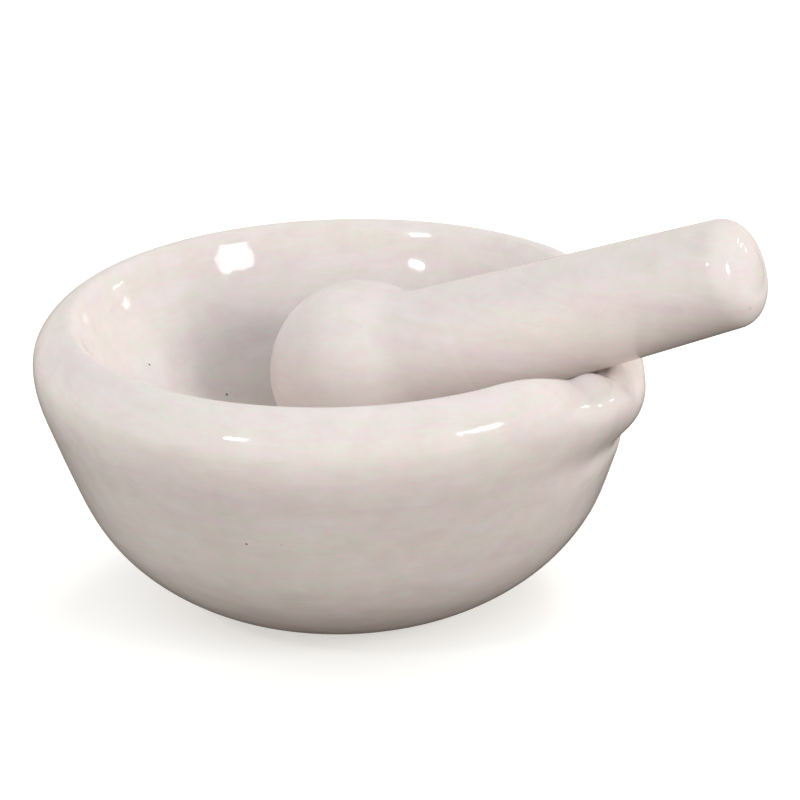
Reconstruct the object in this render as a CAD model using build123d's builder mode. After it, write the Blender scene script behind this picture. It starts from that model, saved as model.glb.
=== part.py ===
from build123d import *
import os
from math import cos, pi, sin, sqrt

os.makedirs("parts", exist_ok=True)

# Millimetres, +Z up. The origin is the centre of the mortar's flat foot, and the
# pouring spout points along +X.

# Mortar
RIM_RADIUS = 30.0
RIM_HEIGHT = 29.3
CREST_RADIUS = 26.4
FOOT_RADIUS = 11.4
FOOT_EDGE = 0.5
BOWL_FLOOR = 8.0  # thickness of porcelain under the bowl
FLOOR_RADIUS = 2.5  # flat middle of the bowl's floor

# Spout
SPOUT_DIP = 5.3  # how far the crest sinks in the middle of the spout
SPOUT_REACH = 1.0  # how far the crest moves outwards there
SPOUT_HALF_ANGLE = 47.0
CHANNEL_HALF_ANGLE = 5.0  # the lowest part of the spout
LIP_HALF_ANGLE = 25.0  # the two lips that stand up beside it
LIP_SHARE = 0.15
PINCH_DEPTH = 0.6  # how far the two flanks of the spout are pressed inwards
PINCH_HALF_ANGLE = 52.0
RING_POINTS = 72

# Pestle
HEAD_RADIUS = 9.3
NECK_FILLET = 5.5
GRIP_START_RADIUS = 6.55
GRIP_END_RADIUS = 5.1
END_HEIGHT = 44.4  # from the centre of the head to the end of the grip
END_EDGE = 2.6
END_CROWN = 0.4  # how far the end face bulges

# The pestle leans in the bowl with its head against the inner wall and its grip
# over the spout.
HEAD_CENTRE = (0.65, 7.0, 19.6)
PESTLE_TURN = -15.5  # degrees from +X, seen from above
PESTLE_RISE = 22.1  # degrees above level


def spout_share(turn):
    """1 in the middle of the spout, fading to 0 at its flanks."""
    if abs(turn) >= SPOUT_HALF_ANGLE:
        return 0.0
    share = cos(pi / 2 * turn / SPOUT_HALF_ANGLE) ** 2
    if CHANNEL_HALF_ANGLE < abs(turn) < LIP_HALF_ANGLE:
        place = (abs(turn) - CHANNEL_HALF_ANGLE) / (LIP_HALF_ANGLE - CHANNEL_HALF_ANGLE)
        share -= LIP_SHARE * sin(pi * place) ** 2
    return share


def pinch_share(turn):
    """1 on each flank of the spout, 0 in its middle and away from it."""
    if abs(turn) >= PINCH_HALF_ANGLE:
        return 0.0
    return sin(pi * turn / PINCH_HALF_ANGLE) ** 2


# Each ring of the mortar's surface, from the foot up the outside, over the crest and
# down to the floor: radius, height, and how much of the dip, of the reach and of the
# pinch it takes.
RINGS = (
    (FOOT_RADIUS, 0.0, 0.0, 0.0, 0.0),
    (13.6, 0.6, 0.0, 0.0, 0.0),
    (16.9, 2.0, 0.0, 0.0, 0.0),
    (20.3, 4.2, 0.0, 0.0, 0.0),
    (23.35, 7.2, 0.0, 0.0, 0.0),
    (25.5, 10.6, 0.0, 0.0, 0.0),
    (26.9, 14.0, 0.0, -0.15, 0.0),
    (28.05, 17.2, 0.1, -0.5, 0.3),
    (29.0, 20.0, 0.42, -1.3, 0.8),
    (29.75, 22.5, 0.59, -0.6, 0.9),
    (RIM_RADIUS, 24.9, 0.74, -0.15, 0.6),
    (29.25, 27.3, 0.89, 0.1, 0.7),
    (CREST_RADIUS, RIM_HEIGHT, 1.0, 0.4, 1.0),
    (25.0, 27.7, 0.82, 0.5, 0.9),
    (24.0, 25.6, 0.53, 0.5, 0.7),
    (22.4, 23.1, 0.22, 0.3, 0.5),
    (20.2, 20.2, 0.04, 0.0, 0.2),
    (17.4, 16.6, 0.0, 0.0, 0.0),
    (14.4, 13.2, 0.0, 0.0, 0.0),
    (10.6, 10.4, 0.0, 0.0, 0.0),
    (6.4, 8.65, 0.0, 0.0, 0.0),
    (FLOOR_RADIUS, BOWL_FLOOR, 0.0, 0.0, 0.0),
)


def ring(radius, height, dip, reach, pinch):
    """One closed ring of the mortar's surface, starting opposite the spout."""
    points = []
    for index in range(RING_POINTS):
        turn = 360 * index / RING_POINTS - 180
        spout = spout_share(turn)
        out = radius + reach * SPOUT_REACH * spout - pinch * PINCH_DEPTH * pinch_share(turn)
        angle = turn * pi / 180
        points.append((out * cos(angle), out * sin(angle), height - dip * SPOUT_DIP * spout))
    places = [index / RING_POINTS for index in range(RING_POINTS + 1)]
    return Wire([Edge.make_spline(points, periodic=True, parameters=places)])


# Mortar: one skin of porcelain running through every ring, closed by the flat foot
# and the flat middle of the bowl's floor.
with BuildPart() as mortar:
    add(Solid.make_loft([ring(*row) for row in RINGS]))
    fillet(mortar.faces().sort_by(Axis.Z)[0].edges(), FOOT_EDGE)
mortar.part.label = "mortar"
export_step(mortar.part, "parts/mortar.step")

# Pestle: a ball head running through a soft neck into a tapering grip.
turn = PESTLE_TURN * pi / 180
rise = PESTLE_RISE * pi / 180
along = Vector(cos(rise) * cos(turn), cos(rise) * sin(turn), sin(rise))
across = Vector(sin(turn), -cos(turn), 0)
pestle_section = Plane(origin=HEAD_CENTRE, x_dir=across, z_dir=across.cross(along))
neck_height = sqrt(HEAD_RADIUS**2 - GRIP_START_RADIUS**2)
with BuildPart() as pestle:
    with BuildSketch(pestle_section):
        with BuildLine():
            Line((0, END_HEIGHT), (0, -HEAD_RADIUS))
            RadiusArc((0, -HEAD_RADIUS), (HEAD_RADIUS, 0), -HEAD_RADIUS)
            RadiusArc((HEAD_RADIUS, 0), (GRIP_START_RADIUS, neck_height), -HEAD_RADIUS)
            Line((GRIP_START_RADIUS, neck_height), (GRIP_END_RADIUS, END_HEIGHT - END_CROWN))
            ThreePointArc(
                (GRIP_END_RADIUS, END_HEIGHT - END_CROWN),
                (GRIP_END_RADIUS / 2, END_HEIGHT - END_CROWN / 4),
                (0, END_HEIGHT),
            )
        make_face()
    revolve(axis=Axis(HEAD_CENTRE, along))
    for radius, rounding in ((GRIP_END_RADIUS, END_EDGE), (GRIP_START_RADIUS, NECK_FILLET)):
        circles = pestle.edges().filter_by(GeomType.CIRCLE)
        fillet([edge for edge in circles if abs(edge.radius - radius) < 0.01], rounding)
pestle.part.label = "pestle"
export_step(pestle.part, "parts/pestle.step")
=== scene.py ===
import math

import bpy
import numpy as np
from mathutils import Matrix, Vector


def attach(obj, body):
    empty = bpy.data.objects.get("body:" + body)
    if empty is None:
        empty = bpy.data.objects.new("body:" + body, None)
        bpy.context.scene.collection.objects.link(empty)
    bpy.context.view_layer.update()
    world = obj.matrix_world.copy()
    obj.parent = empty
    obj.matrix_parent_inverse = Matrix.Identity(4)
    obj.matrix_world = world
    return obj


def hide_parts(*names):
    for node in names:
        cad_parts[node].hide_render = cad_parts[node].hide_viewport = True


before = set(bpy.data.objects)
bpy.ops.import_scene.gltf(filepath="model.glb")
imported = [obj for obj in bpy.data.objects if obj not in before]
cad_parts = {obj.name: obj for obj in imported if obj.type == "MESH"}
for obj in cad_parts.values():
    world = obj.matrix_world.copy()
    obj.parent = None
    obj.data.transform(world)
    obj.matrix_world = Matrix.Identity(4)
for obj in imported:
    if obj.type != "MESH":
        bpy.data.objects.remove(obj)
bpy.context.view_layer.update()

MM = 0.001

# ---------------------------------------------------------------- mortar, millimetres

RIM_RADIUS = 30.0
RIM_HEIGHT = 29.3
CREST_RADIUS = 26.4
FOOT_RADIUS = 11.4
FOOT_EDGE = 0.5
BOWL_FLOOR = 8.0  # thickness of porcelain under the bowl
FLOOR_RADIUS = 2.5
SPOUT_DIP = 5.3
SPOUT_REACH = 1.0
SPOUT_HALF_ANGLE = 47.0
CHANNEL_HALF_ANGLE = 5.0  # the lowest part of the spout
LIP_HALF_ANGLE = 25.0  # the two lips that stand up beside it
LIP_SHARE = 0.15
PINCH_DEPTH = 0.6  # how far the two flanks of the spout are pressed inwards
PINCH_HALF_ANGLE = 52.0

# Rings of the surface, from the foot up the outside, over the crest and down to the
# floor: radius, height, and the shares of the spout's dip and reach and of the pinch.
RINGS = (
    (FOOT_RADIUS, 0.0, 0.0, 0.0, 0.0),
    (13.6, 0.6, 0.0, 0.0, 0.0),
    (16.9, 2.0, 0.0, 0.0, 0.0),
    (20.3, 4.2, 0.0, 0.0, 0.0),
    (23.35, 7.2, 0.0, 0.0, 0.0),
    (25.5, 10.6, 0.0, 0.0, 0.0),
    (26.9, 14.0, 0.0, -0.15, 0.0),
    (28.05, 17.2, 0.1, -0.5, 0.3),
    (29.0, 20.0, 0.42, -1.3, 0.8),
    (29.75, 22.5, 0.59, -0.6, 0.9),
    (RIM_RADIUS, 24.9, 0.74, -0.15, 0.6),
    (29.25, 27.3, 0.89, 0.1, 0.7),
    (CREST_RADIUS, RIM_HEIGHT, 1.0, 0.4, 1.0),
    (25.0, 27.7, 0.82, 0.5, 0.9),
    (24.0, 25.6, 0.53, 0.5, 0.7),
    (22.4, 23.1, 0.22, 0.3, 0.5),
    (20.2, 20.2, 0.04, 0.0, 0.2),
    (17.4, 16.6, 0.0, 0.0, 0.0),
    (14.4, 13.2, 0.0, 0.0, 0.0),
    (10.6, 10.4, 0.0, 0.0, 0.0),
    (6.4, 8.65, 0.0, 0.0, 0.0),
    (FLOOR_RADIUS, BOWL_FLOOR, 0.0, 0.0, 0.0),
)
AROUND = 360  # mesh columns round the mortar
PER_RING = 9  # mesh rows between two rings
FOOT_PARTS = (0.3, 0.6, 0.85, 0.95, 1.0)  # rings across the flat foot
FLOOR_PARTS = (0.75, 0.5, 0.25)  # rings across the flat of the floor


def smooth_rows(rows, steps):
    """A natural cubic spline through rows of numbers, sampled steps times a span."""
    table = np.array(rows)
    spans = np.hypot(np.diff(table[:, 0]), np.diff(table[:, 1])) ** 0.5
    last = len(table) - 1
    system = np.eye(last + 1)
    right = np.zeros_like(table)
    for i in range(1, last):
        system[i, i - 1] = spans[i - 1]
        system[i, i] = 2 * (spans[i - 1] + spans[i])
        system[i, i + 1] = spans[i]
        after = (table[i + 1] - table[i]) / spans[i]
        before = (table[i] - table[i - 1]) / spans[i - 1]
        right[i] = 6 * (after - before)
    bend = np.linalg.solve(system, right)
    sampled = []
    for i in range(last):
        for step in range(steps):
            far = step / steps
            near = 1 - far
            curve = (near**3 - near) * bend[i] + (far**3 - far) * bend[i + 1]
            sampled.append(near * table[i] + far * table[i + 1] + curve * spans[i] ** 2 / 6)
    sampled.append(table[last])
    return sampled


def spout_share(turn):
    """1 in the middle of the spout, fading to 0 at its flanks."""
    if abs(turn) >= SPOUT_HALF_ANGLE:
        return 0.0
    share = math.cos(math.pi / 2 * turn / SPOUT_HALF_ANGLE) ** 2
    if CHANNEL_HALF_ANGLE < abs(turn) < LIP_HALF_ANGLE:
        place = (abs(turn) - CHANNEL_HALF_ANGLE) / (LIP_HALF_ANGLE - CHANNEL_HALF_ANGLE)
        share -= LIP_SHARE * math.sin(math.pi * place) ** 2
    return share


def pinch_share(turn):
    """1 on each flank of the spout, 0 in its middle and away from it."""
    if abs(turn) >= PINCH_HALF_ANGLE:
        return 0.0
    return math.sin(math.pi * turn / PINCH_HALF_ANGLE) ** 2


def make_mesh(name, rings, bottom, top):
    """A closed skin through rings of points, with a pole at each end."""
    count = len(rings[0])
    points = [bottom] + [p for ring in rings for p in ring] + [top]
    faces = []
    for row in range(len(rings) - 1):
        for column in range(count):
            beside = (column + 1) % count
            low = 1 + row * count
            high = low + count
            faces.append((low + column, low + beside, high + beside, high + column))
    last = 1 + (len(rings) - 1) * count
    for column in range(count):
        beside = (column + 1) % count
        faces.append((0, 1 + beside, 1 + column))
        faces.append((len(points) - 1, last + column, last + beside))
    mesh = bpy.data.meshes.new(name)
    mesh.from_pydata([Vector(p) * MM for p in points], [], faces)
    mesh.polygons.foreach_set("use_smooth", [True] * len(mesh.polygons))
    mesh.update()
    piece = bpy.data.objects.new(name, mesh)
    bpy.context.scene.collection.objects.link(piece)
    return piece


def mortar_rings():
    """Rings of the glazed mortar from the middle of its foot to the bowl's floor."""
    rows = [(FOOT_RADIUS * part - FOOT_EDGE, 0.0, 0.0, 0.0, 0.0) for part in FOOT_PARTS]
    # The soft edge of the foot.
    rows += [
        (FOOT_RADIUS - 0.12, 0.015, 0.0, 0.0, 0.0),
        (FOOT_RADIUS + 0.22, 0.075, 0.0, 0.0, 0.0),
    ]
    rows += smooth_rows(RINGS[1:], PER_RING)
    rows += [(FLOOR_RADIUS * part, BOWL_FLOOR, 0.0, 0.0, 0.0) for part in FLOOR_PARTS]
    rings = []
    for radius, height, dip, reach, pinch in rows:
        ring = []
        for column in range(AROUND):
            turn = 360 * column / AROUND - 180
            share = spout_share(turn)
            out = radius + reach * SPOUT_REACH * share - pinch * PINCH_DEPTH * pinch_share(turn)
            angle = math.radians(turn)
            level = height - dip * SPOUT_DIP * share
            ring.append((out * math.cos(angle), out * math.sin(angle), level))
        rings.append(ring)
    return rings


mortar = make_mesh("mortar_glazed", mortar_rings(), (0, 0, 0), (0, 0, BOWL_FLOOR))
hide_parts("mortar")
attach(mortar, "mortar")

# ---------------------------------------------------------------- pestle, millimetres

HEAD_RADIUS = 9.3
NECK_FILLET = 5.5
GRIP_START_RADIUS = 6.55
GRIP_END_RADIUS = 5.1
END_HEIGHT = 44.4  # from the centre of the head to the end of the grip
END_EDGE = 2.6
END_CROWN = 0.4
HEAD_CENTRE = Vector((0.65, 7.0, 19.6))
PESTLE_TURN = -15.5  # degrees from +X, seen from above
PESTLE_RISE = 22.1  # degrees above level
PESTLE_AROUND = 160  # mesh columns round the pestle
BALL_STEPS = 60
NECK_STEPS = 12
GRIP_STEPS = 40
EDGE_STEPS = 12
CROWN_STEPS = 8
HALVINGS = 60  # steps in the search for the neck's fillet


def pestle_profile():
    """Radius and place along the axis, from the head's far end to the grip's end."""
    neck = math.sqrt(HEAD_RADIUS**2 - GRIP_START_RADIUS**2)
    taper = (GRIP_START_RADIUS - GRIP_END_RADIUS) / (END_HEIGHT - neck)
    lean = math.atan(taper)
    # The neck's fillet touches the ball and the cone from outside.
    near = neck
    far = neck + HEAD_RADIUS
    for _ in range(HALVINGS):
        middle = (near + far) / 2
        cone = GRIP_START_RADIUS - taper * (middle - neck)
        out = cone + NECK_FILLET / math.cos(lean)
        if math.hypot(out, middle) < HEAD_RADIUS + NECK_FILLET:
            near = middle
        else:
            far = middle
    centre = Vector((out, middle))
    ball_end = math.degrees(math.atan2(centre.y, centre.x))
    profile = []
    for step in range(1, BALL_STEPS + 1):
        angle = math.radians(-90 + (ball_end + 90) * step / BALL_STEPS)
        profile.append((HEAD_RADIUS * math.cos(angle), HEAD_RADIUS * math.sin(angle)))
    start = 180 + ball_end
    stop = 180 + math.degrees(lean)
    for step in range(1, NECK_STEPS + 1):
        angle = math.radians(start + (stop - start) * step / NECK_STEPS)
        out = centre.x + NECK_FILLET * math.cos(angle)
        profile.append((out, centre.y + NECK_FILLET * math.sin(angle)))
    low = profile[-1][1]
    high = END_HEIGHT - END_CROWN - END_EDGE
    for step in range(1, GRIP_STEPS + 1):
        place = low + (high - low) * step / GRIP_STEPS
        profile.append((GRIP_START_RADIUS - taper * (place - neck), place))
    corner = profile[-1][0] - END_EDGE
    for step in range(1, EDGE_STEPS + 1):
        angle = math.radians(90 * step / EDGE_STEPS)
        profile.append((corner + END_EDGE * math.cos(angle), high + END_EDGE * math.sin(angle)))
    for step in range(1, CROWN_STEPS):
        part = 1 - step / CROWN_STEPS
        profile.append((corner * part, END_HEIGHT - END_CROWN * part**2))
    return profile


turn = math.radians(PESTLE_TURN)
rise = math.radians(PESTLE_RISE)
along = Vector((math.cos(rise) * math.cos(turn), math.cos(rise) * math.sin(turn), math.sin(rise)))
across = Vector((math.sin(turn), -math.cos(turn), 0))
third = along.cross(across)
pestle_rings = []
for radius, place in pestle_profile():
    pestle_ring = []
    for column in range(PESTLE_AROUND):
        angle = 2 * math.pi * column / PESTLE_AROUND
        outward = across * math.cos(angle) + third * math.sin(angle)
        pestle_ring.append(HEAD_CENTRE + along * place + outward * radius)
    pestle_rings.append(pestle_ring)
pestle = make_mesh(
    "pestle_glazed",
    pestle_rings,
    HEAD_CENTRE - along * HEAD_RADIUS,
    HEAD_CENTRE + along * END_HEIGHT,
)
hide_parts("pestle")
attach(pestle, "pestle")

# ---------------------------------------------------------------- glaze

# Colour ramps as (place, linear colour): warm clouds, and fainter bands over them.
BODY_TINTS = (
    (0.32, (0.765, 0.695, 0.695)),
    (0.43, (0.795, 0.695, 0.668)),
    (0.50, (0.770, 0.735, 0.685)),
    (0.57, (0.810, 0.710, 0.690)),
    (0.68, (0.800, 0.745, 0.730)),
)
BAND_TINTS = (
    (0.34, (1.0, 0.985, 1.01)),
    (0.45, (1.0, 1.0, 1.0)),
    (0.50, (0.97, 1.0, 0.97)),
    (0.55, (1.0, 1.0, 1.0)),
    (0.64, (0.99, 0.97, 0.995)),
)
GRAIN_TINTS = ((0.35, (0.965, 0.955, 0.95)), (0.6, (1, 1, 1)))
CLOUD_SCALE = 130.0  # this and the other scales are features per metre
CLOUD_STRETCH = (1.0, 1.0, 3.5)  # a larger number makes the pattern finer that way
CLOUD_DISTORTION = 1.2
BAND_SCALE = 140.0
BAND_STRETCH = (0.3, 0.3, 4.0)
BAND_DISTORTION = 0.6
GRAIN_SCALE = 420.0
POOL_SCALE = 160.0  # patches of duller glaze
WAVE_SCALE = 150.0  # ripples in the glaze
WAVE_STRENGTH = 0.35
WAVE_HEIGHT = 0.0005  # metres
SPECK_CELLS = 300.0  # per metre
SPECK_RARITY = 0.6  # share of the cells that have no speck
SPECK_SIZE = 0.055  # in cells
SPECK_COLOUR = (0.09, 0.06, 0.05, 1)
GLAZE_ROUGHNESS = (0.06, 0.12)
BARE_ROUGHNESS = 0.62
GLAZE_IOR = 1.5
GLAZE_START = 10.0  # millimetres from the head's centre to where the glaze begins
GLAZE_FADE = 8.0  # and from there to where it is full


def new_material(name):
    """A material with its nodes and links."""
    material = bpy.data.materials.new(name)
    material.use_nodes = True
    return material, material.node_tree.nodes, material.node_tree.links


def noise_node(nodes, links, coordinates, scale, detail=3.0, roughness=0.5, stretch=None):
    """Noise on the coordinates, which may be stretched first."""
    if stretch:
        mapping = nodes.new("ShaderNodeMapping")
        mapping.inputs["Scale"].default_value = stretch
        links.new(coordinates, mapping.inputs["Vector"])
        coordinates = mapping.outputs["Vector"]
    node = nodes.new("ShaderNodeTexNoise")
    node.inputs["Scale"].default_value = scale
    node.inputs["Detail"].default_value = detail
    node.inputs["Roughness"].default_value = roughness
    links.new(coordinates, node.inputs["Vector"])
    return node


def ramp_node(nodes, links, value, stops):
    """A colour ramp fed by a value; stops are (place, colour)."""
    node = nodes.new("ShaderNodeValToRGB")
    elements = node.color_ramp.elements
    while len(elements) < len(stops):
        elements.new(0.5)
    for element, (place, colour) in zip(elements, stops):
        element.position = place
        element.color = (*colour, 1.0)
    links.new(value, node.inputs["Fac"])
    return node


def mix_node(nodes, links, factor, first, second, blend="MIX"):
    """A mix of two colours; factor is another value or a plain number."""
    node = nodes.new("ShaderNodeMix")
    node.data_type = "RGBA"
    node.blend_type = blend
    if hasattr(factor, "links"):
        links.new(factor, node.inputs["Factor"])
    else:
        node.inputs["Factor"].default_value = factor
    links.new(first, node.inputs["A"])
    links.new(second, node.inputs["B"])
    return node


def math_node(nodes, links, operation, first, second):
    """One sum on a value; second is another value or a plain number."""
    node = nodes.new("ShaderNodeMath")
    node.operation = operation
    links.new(first, node.inputs[0])
    if hasattr(second, "links"):
        links.new(second, node.inputs[1])
    else:
        node.inputs[1].default_value = second
    return node


def speck_mask(nodes, links, place):
    """1 in a few tiny round spots scattered over the glaze, 0 elsewhere."""
    cells = nodes.new("ShaderNodeTexVoronoi")
    cells.inputs["Scale"].default_value = SPECK_CELLS
    links.new(place, cells.inputs["Vector"])
    split = nodes.new("ShaderNodeSeparateColor")
    links.new(cells.outputs["Color"], split.inputs["Color"])
    chosen = math_node(nodes, links, "GREATER_THAN", split.outputs["Red"], SPECK_RARITY)
    spot = ramp_node(
        nodes,
        links,
        cells.outputs["Distance"],
        ((SPECK_SIZE * 0.5, (1, 1, 1)), (SPECK_SIZE, (0, 0, 0))),
    )
    return math_node(nodes, links, "MULTIPLY", chosen.outputs[0], spot.outputs["Color"]).outputs[0]


def porcelain(name, bare_share):
    """Cream porcelain; bare_share(nodes, links, place) is 1 where it is left unglazed."""
    material, nodes, links = new_material(name)
    shader = nodes["Principled BSDF"]
    place = nodes.new("ShaderNodeTexCoord").outputs["Object"]

    # Faint pink, green-grey and lavender clouds drawn out round the bowl.
    clouds = noise_node(nodes, links, place, CLOUD_SCALE, 4.0, 0.6, CLOUD_STRETCH)
    clouds.inputs["Distortion"].default_value = CLOUD_DISTORTION
    body = ramp_node(nodes, links, clouds.outputs["Fac"], BODY_TINTS)
    fine = noise_node(nodes, links, place, GRAIN_SCALE, 4.0, 0.6)
    grain = ramp_node(nodes, links, fine.outputs["Fac"], GRAIN_TINTS)
    bands = noise_node(nodes, links, place, BAND_SCALE, 3.0, 0.5, BAND_STRETCH)
    bands.inputs["Distortion"].default_value = BAND_DISTORTION
    banding = ramp_node(nodes, links, bands.outputs["Fac"], BAND_TINTS)
    colour = body.outputs["Color"]
    for layer in (grain, banding):
        mixed = mix_node(nodes, links, 1.0, colour, layer.outputs["Color"], "MULTIPLY")
        colour = mixed.outputs["Result"]
    speck_colour = nodes.new("ShaderNodeRGB")
    speck_colour.outputs[0].default_value = SPECK_COLOUR
    specks = speck_mask(nodes, links, place)
    spotted = mix_node(nodes, links, specks, colour, speck_colour.outputs[0])
    links.new(spotted.outputs["Result"], shader.inputs["Base Color"])

    bare = bare_share(nodes, links, place)
    pooled = noise_node(nodes, links, place, POOL_SCALE, 2.0)
    shine = nodes.new("ShaderNodeMapRange")
    shine.inputs["To Min"].default_value = GLAZE_ROUGHNESS[0]
    shine.inputs["To Max"].default_value = GLAZE_ROUGHNESS[1]
    links.new(pooled.outputs["Fac"], shine.inputs["Value"])
    rough = nodes.new("ShaderNodeMix")
    links.new(bare, rough.inputs["Factor"])
    links.new(shine.outputs["Result"], rough.inputs["A"])
    rough.inputs["B"].default_value = BARE_ROUGHNESS
    links.new(rough.outputs["Result"], shader.inputs["Roughness"])

    waves = noise_node(nodes, links, place, WAVE_SCALE)
    bump = nodes.new("ShaderNodeBump")
    bump.inputs["Strength"].default_value = WAVE_STRENGTH
    bump.inputs["Distance"].default_value = WAVE_HEIGHT
    links.new(waves.outputs["Fac"], bump.inputs["Height"])
    links.new(bump.outputs["Normal"], shader.inputs["Normal"])
    shader.inputs["IOR"].default_value = GLAZE_IOR
    return material


def bare_foot(nodes, links, place):
    """The flat foot the mortar was fired on."""
    split = nodes.new("ShaderNodeSeparateXYZ")
    links.new(place, split.inputs["Vector"])
    height = split.outputs["Z"]
    return math_node(nodes, links, "LESS_THAN", height, FOOT_EDGE * MM * 0.5).outputs[0]


def bare_head(nodes, links, place):
    """The grinding ball of the pestle, up to its neck."""
    offset = nodes.new("ShaderNodeVectorMath")
    offset.operation = "SUBTRACT"
    links.new(place, offset.inputs[0])
    offset.inputs[1].default_value = HEAD_CENTRE * MM
    reach = nodes.new("ShaderNodeVectorMath")
    reach.operation = "DOT_PRODUCT"
    links.new(offset.outputs["Vector"], reach.inputs[0])
    reach.inputs[1].default_value = along
    fade = nodes.new("ShaderNodeMapRange")
    fade.inputs["From Min"].default_value = GLAZE_START * MM
    fade.inputs["From Max"].default_value = (GLAZE_START + GLAZE_FADE) * MM
    fade.interpolation_type = "SMOOTHSTEP"
    fade.inputs["To Min"].default_value = 1.0
    fade.inputs["To Max"].default_value = 0.0
    links.new(reach.outputs["Value"], fade.inputs["Value"])
    return fade.outputs["Result"]


mortar.data.materials.append(porcelain("mortar_glaze", bare_foot))
pestle.data.materials.append(porcelain("pestle_glaze", bare_head))

# ---------------------------------------------------------------- floor, light, camera

HALF_FLOOR = 3.0
FLOOR_LOOK = {
    "Base Color": (0.86, 0.86, 0.85, 1),
    "Roughness": 0.9,
    "Specular IOR Level": 0.1,
    "Emission Color": (1.0, 1.0, 0.98, 1),
    "Emission Strength": 0.4,
}
floor_mesh = bpy.data.meshes.new("floor")
signs = ((-1, -1), (1, -1), (1, 1), (-1, 1))
floor_corners = [(x * HALF_FLOOR, y * HALF_FLOOR, 0) for x, y in signs]
floor_mesh.from_pydata(floor_corners, [], [(0, 1, 2, 3)])
floor = bpy.data.objects.new("floor", floor_mesh)
bpy.context.scene.collection.objects.link(floor)
floor_material, floor_nodes, _ = new_material("floor_paper")
for socket, value in FLOOR_LOOK.items():
    floor_nodes["Principled BSDF"].inputs[socket].default_value = value
floor.data.materials.append(floor_material)
floor.visible_diffuse = False
floor.visible_glossy = False

BOWL_CENTRE = Vector((0.0, 0.0, 0.02))
LAMP_DISTANCE = 0.6
FILL_SIZE = (0.25, 0.2)


def add_lamp(name, azimuth, elevation, size, power):
    """A soft rectangular lamp facing the bowl; degrees, metres and watts."""
    a = math.radians(azimuth)
    e = math.radians(elevation)
    back = Vector((math.sin(a) * math.cos(e), -math.cos(a) * math.cos(e), math.sin(e)))
    data = bpy.data.lights.new(name, "AREA")
    data.shape = "RECTANGLE"
    data.size, data.size_y = size
    data.energy = power
    lamp = bpy.data.objects.new(name, data)
    lamp.location = BOWL_CENTRE + back * LAMP_DISTANCE
    lamp.rotation_mode = "QUATERNION"
    lamp.rotation_quaternion = (-back).to_track_quat("-Z", "Y")
    bpy.context.scene.collection.objects.link(lamp)
    return lamp


add_lamp("softbox_right", 65, 30, (0.15, 0.1), 0.45)
add_lamp("lamp_left", -31, 38, (0.08, 0.06), 0.35)
add_lamp("lamp_back", 132, 12, (0.04, 0.02), 0.025)
# Broad fills that light the porcelain without showing in its glaze.
for name, azimuth, elevation, colour, power in (
    ("fill_right", 66, 16, (0.98, 1.0, 0.98), 1.35),
    ("fill_left", -50, 10, (0.93, 1.0, 0.98), 1.15),
    ("fill_back", 170, 40, (1.0, 0.95, 0.85), 1.3),
):
    fill = add_lamp(name, azimuth, elevation, FILL_SIZE, power)
    fill.data.color = colour
    fill.visible_glossy = False

# The room is cool above, brightest and warm at the horizon, and dark below.
SKY_TINTS = ((0.25, (0.09, 0.07, 0.06)), (0.5, (0.83, 0.75, 0.69)), (0.9, (0.50, 0.54, 0.575)))
world = bpy.data.worlds.new("studio")
bpy.context.scene.world = world
world.use_nodes = True
sky_nodes = world.node_tree.nodes
sky_links = world.node_tree.links
direction = sky_nodes.new("ShaderNodeTexCoord")
split = sky_nodes.new("ShaderNodeSeparateXYZ")
sky_links.new(direction.outputs["Generated"], split.inputs["Vector"])
up_share = sky_nodes.new("ShaderNodeMapRange")
up_share.inputs["From Min"].default_value = -1.0
up_share.inputs["From Max"].default_value = 1.0
sky_links.new(split.outputs["Z"], up_share.inputs["Value"])
sky = ramp_node(sky_nodes, sky_links, up_share.outputs["Result"], SKY_TINTS)
sky_links.new(sky.outputs["Color"], sky_nodes["Background"].inputs["Color"])
sky_nodes["Background"].inputs["Strength"].default_value = 1.0

LENS = 116.6
CAMERA_PLACE = Vector((49.39, -232.34, 115.83)) * MM
CAMERA_TARGET = Vector((5.34, 2.47, 18.54)) * MM
CAMERA_ROLL = math.radians(-1.285)
camera_data = bpy.data.cameras.new("camera")
camera_data.lens = LENS
camera_data.sensor_width = 36.0
camera_data.clip_start = 0.01
camera_data.clip_end = 20.0
camera = bpy.data.objects.new("camera", camera_data)
bpy.context.scene.collection.objects.link(camera)
look = (CAMERA_TARGET - CAMERA_PLACE).to_track_quat("-Z", "Y").to_matrix().to_4x4()
roll = Matrix.Rotation(CAMERA_ROLL, 4, "Z")
camera.matrix_world = Matrix.Translation(CAMERA_PLACE) @ look @ roll
bpy.context.scene.camera = camera
bpy.context.scene.view_settings.view_transform = "Standard"
